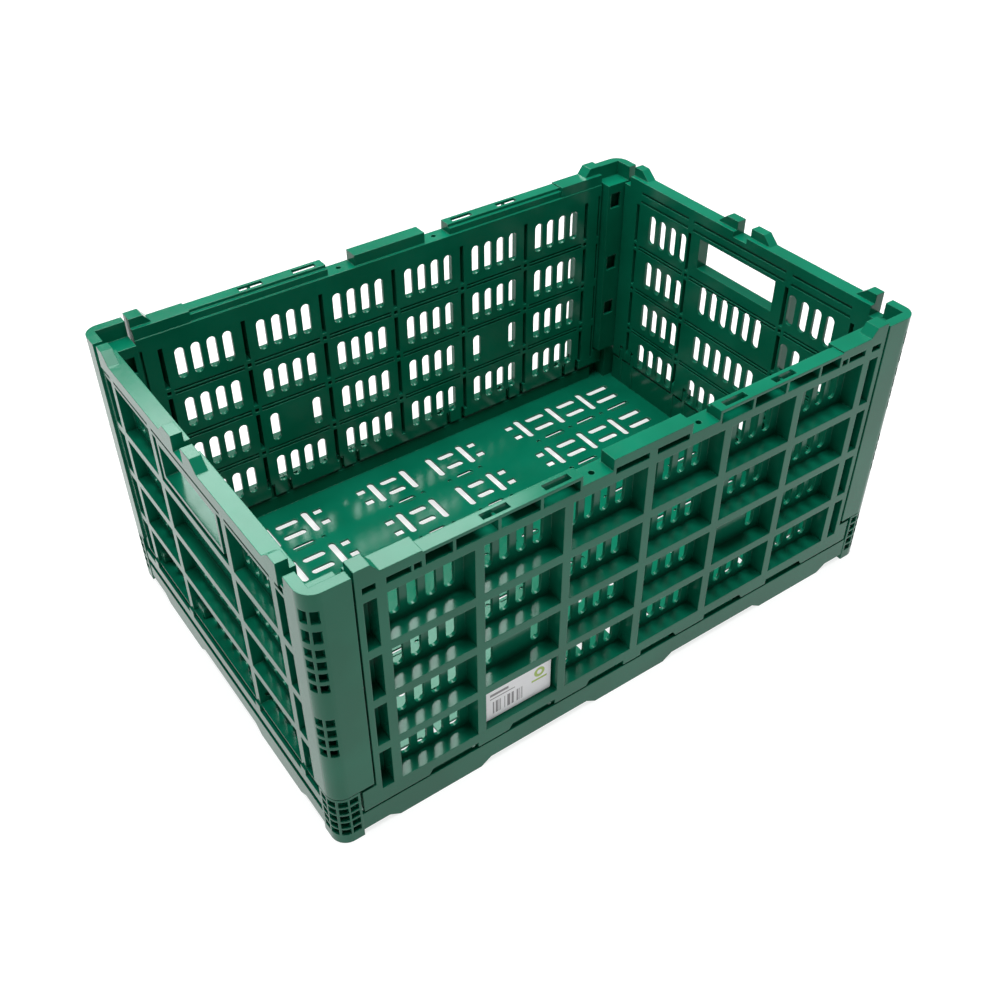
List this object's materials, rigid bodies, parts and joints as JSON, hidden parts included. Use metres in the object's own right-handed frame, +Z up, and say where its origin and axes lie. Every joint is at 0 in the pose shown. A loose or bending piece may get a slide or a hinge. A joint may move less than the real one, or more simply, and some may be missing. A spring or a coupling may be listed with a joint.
{
  "type": "collapsible storage crate",
  "caption": "Perforated plastic crate with a slotted base, hinged walls that fold inwards, corner posts and handle openings in the ends.",
  "frame": {"origin": "centre of the footprint on the surface that the crate stands on", "axes": "+X along the long walls, +Y from the front long wall to the back one, +Z up"},
  "size_m": [0.6, 0.4, 0.2815],
  "materials": {
    "crate_plastic": "semi-gloss moulded polypropylene",
    "pin_plastic": "moulded",
    "label_paper": "coated adhesive label"
  },
  "bodies": {
    "base": {"base_tray": "crate_plastic", "post_front_left": "crate_plastic", "post_back_left": "crate_plastic", "post_front_right": "crate_plastic", "post_back_right": "crate_plastic", "front_hinge_pins": "pin_plastic", "back_hinge_pins": "pin_plastic", "left_hinge_pins": "pin_plastic", "right_hinge_pins": "pin_plastic"},
    "front_wall": {"front_long_wall": "crate_plastic", "front_label": "label_paper"},
    "back_wall": {"back_long_wall": "crate_plastic"},
    "left_end": {"left_end_wall": "crate_plastic"},
    "right_end": {"right_end_wall": "crate_plastic"}
  },
  "joints": [
    {"name": "front_fold", "type": "hinge", "parent": "base", "child": "front_wall", "pos_m": [0, -0.1905, 0.024], "axis": [-1, 0, 0], "range_deg": [0, 90]},
    {"name": "back_fold", "type": "hinge", "parent": "base", "child": "back_wall", "pos_m": [0, 0.191, 0.0435], "axis": [1, 0, 0], "range_deg": [0, 90]},
    {"name": "left_fold", "type": "hinge", "parent": "base", "child": "left_end", "pos_m": [-0.29, 0, 0.0575], "axis": [0, 1, 0], "range_deg": [0, 90]},
    {"name": "right_fold", "type": "hinge", "parent": "base", "child": "right_end", "pos_m": [0.29, 0, 0.0575], "axis": [0, -1, 0], "range_deg": [0, 90]}
  ]
}
